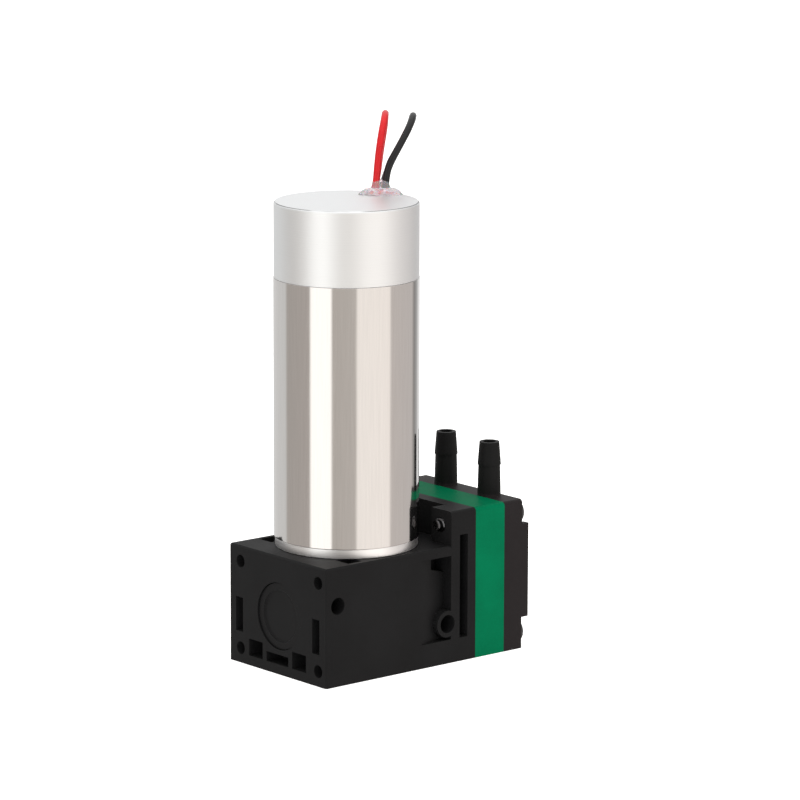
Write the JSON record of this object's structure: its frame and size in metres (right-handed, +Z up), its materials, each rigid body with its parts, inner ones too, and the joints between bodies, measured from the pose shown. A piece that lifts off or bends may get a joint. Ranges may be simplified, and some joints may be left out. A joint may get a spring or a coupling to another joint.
{
  "type": "diaphragm vacuum pump",
  "caption": "Small diaphragm vacuum pump: an upright can motor on a moulded crankcase turns an eccentric whose rod works the diaphragm in the head, under the hose barbs.",
  "frame": {"origin": "on the base plane, under the middle of the pump between the crankcase's end face and the head's face", "axes": "+X from the crankcase's end face to the head, +Y to the side with the inlet barb, +Z up along the motor"},
  "size_m": [0.0677, 0.0715, 0.1353],
  "materials": {
    "crankcase_plastic": "moulded, fine satin grain",
    "plug_plastic": "moulded, smooth dish",
    "green_plastic": "moulded, satin",
    "cover_plastic": "moulded, fine satin grain",
    "seal_rubber": "moulded elastomer",
    "bright_steel": "zinc plated",
    "screw_steel": "dark nickel plated",
    "rod_plastic": "glass-filled, ground",
    "bearing_steel": "ground",
    "turned_steel": "turned",
    "black_screw": "black oxide",
    "cast_bell": "die cast and turned, bright",
    "can_steel": "drawn and polished",
    "cap_aluminium": "turned, satin",
    "frame_plastic": "moulded",
    "lamination_steel": "stacked laminations, coated",
    "winding_wire": "enamelled copper wire, lacquered",
    "magnet_coating": "epoxy-coated magnet ring",
    "board_resin": "glass-resin board",
    "component_plastic": "moulded component cases",
    "potting_compound": "cured, milky and glossy",
    "red_insulation": "extruded flexible insulation",
    "black_insulation": "extruded flexible insulation",
    "tinned_wire": "tinned strands"
  },
  "bodies": {
    "pump_body": {"crankcase": "crankcase_plastic", "access_plug": "plug_plastic", "chamber_plate": "green_plastic", "head_cover": "cover_plastic", "head_gasket": "seal_rubber", "diaphragm": "seal_rubber", "motor_bell": "cast_bell", "motor_can": "can_steel", "motor_cap": "cap_aluminium", "end_frame": "frame_plastic", "front_bearing_outer": "bearing_steel", "rear_bearing_outer": "bearing_steel", "preload_washer": "bearing_steel", "stator_core": "lamination_steel", "stator_windings": "winding_wire", "driver_board": "board_resin", "driver_components": "component_plastic", "lead_potting": "potting_compound", "head_screws": "screw_steel", "motor_screws": "screw_steel", "lead_red": "red_insulation", "lead_black": "black_insulation", "lead_red_tail": "red_insulation", "lead_black_tail": "black_insulation", "lead_tips": "tinned_wire"},
    "rotor": {"motor_shaft": "turned_steel", "rotor_magnet": "magnet_coating", "rotor_core": "turned_steel", "front_bearing_inner": "bearing_steel", "rear_bearing_inner": "bearing_steel", "eccentric": "turned_steel", "eccentric_set_screw": "black_screw", "rod_bearing_inner": "bearing_steel"},
    "rod": {"connecting_rod": "rod_plastic", "rod_bearing_outer": "bearing_steel", "rod_bearing_balls": "bearing_steel", "clamp_disc": "bright_steel", "clamp_screw": "bright_steel"},
    "inlet_valve": {"inlet_valve_disc": "seal_rubber"},
    "outlet_valve": {"outlet_valve_disc": "seal_rubber"}
  },
  "joints": [
    {"name": "rotor_spin", "type": "hinge", "parent": "pump_body", "child": "rotor", "pos_m": [-0.01095, 0, 0.0191], "axis": [0, 0, 1], "continuous": true},
    {"name": "rod_turn", "type": "hinge", "parent": "rotor", "child": "rod", "pos_m": [-0.01215, 0, 0.0191], "axis": [0, 0, 1], "continuous": true, "deforming": ["diaphragm"]},
    {"name": "inlet_valve_lift", "type": "slide", "parent": "pump_body", "child": "inlet_valve", "axis": [-1, 0, 0], "range_m": [0, 0.0005], "stiffness_N_per_m": 1},
    {"name": "outlet_valve_lift", "type": "slide", "parent": "pump_body", "child": "outlet_valve", "axis": [1, 0, 0], "range_m": [0, 0.0005], "stiffness_N_per_m": 1}
  ],
  "couplings": [
    {"joint": "rod_turn", "follows": "rotor_spin", "ratio": -1}
  ]
}
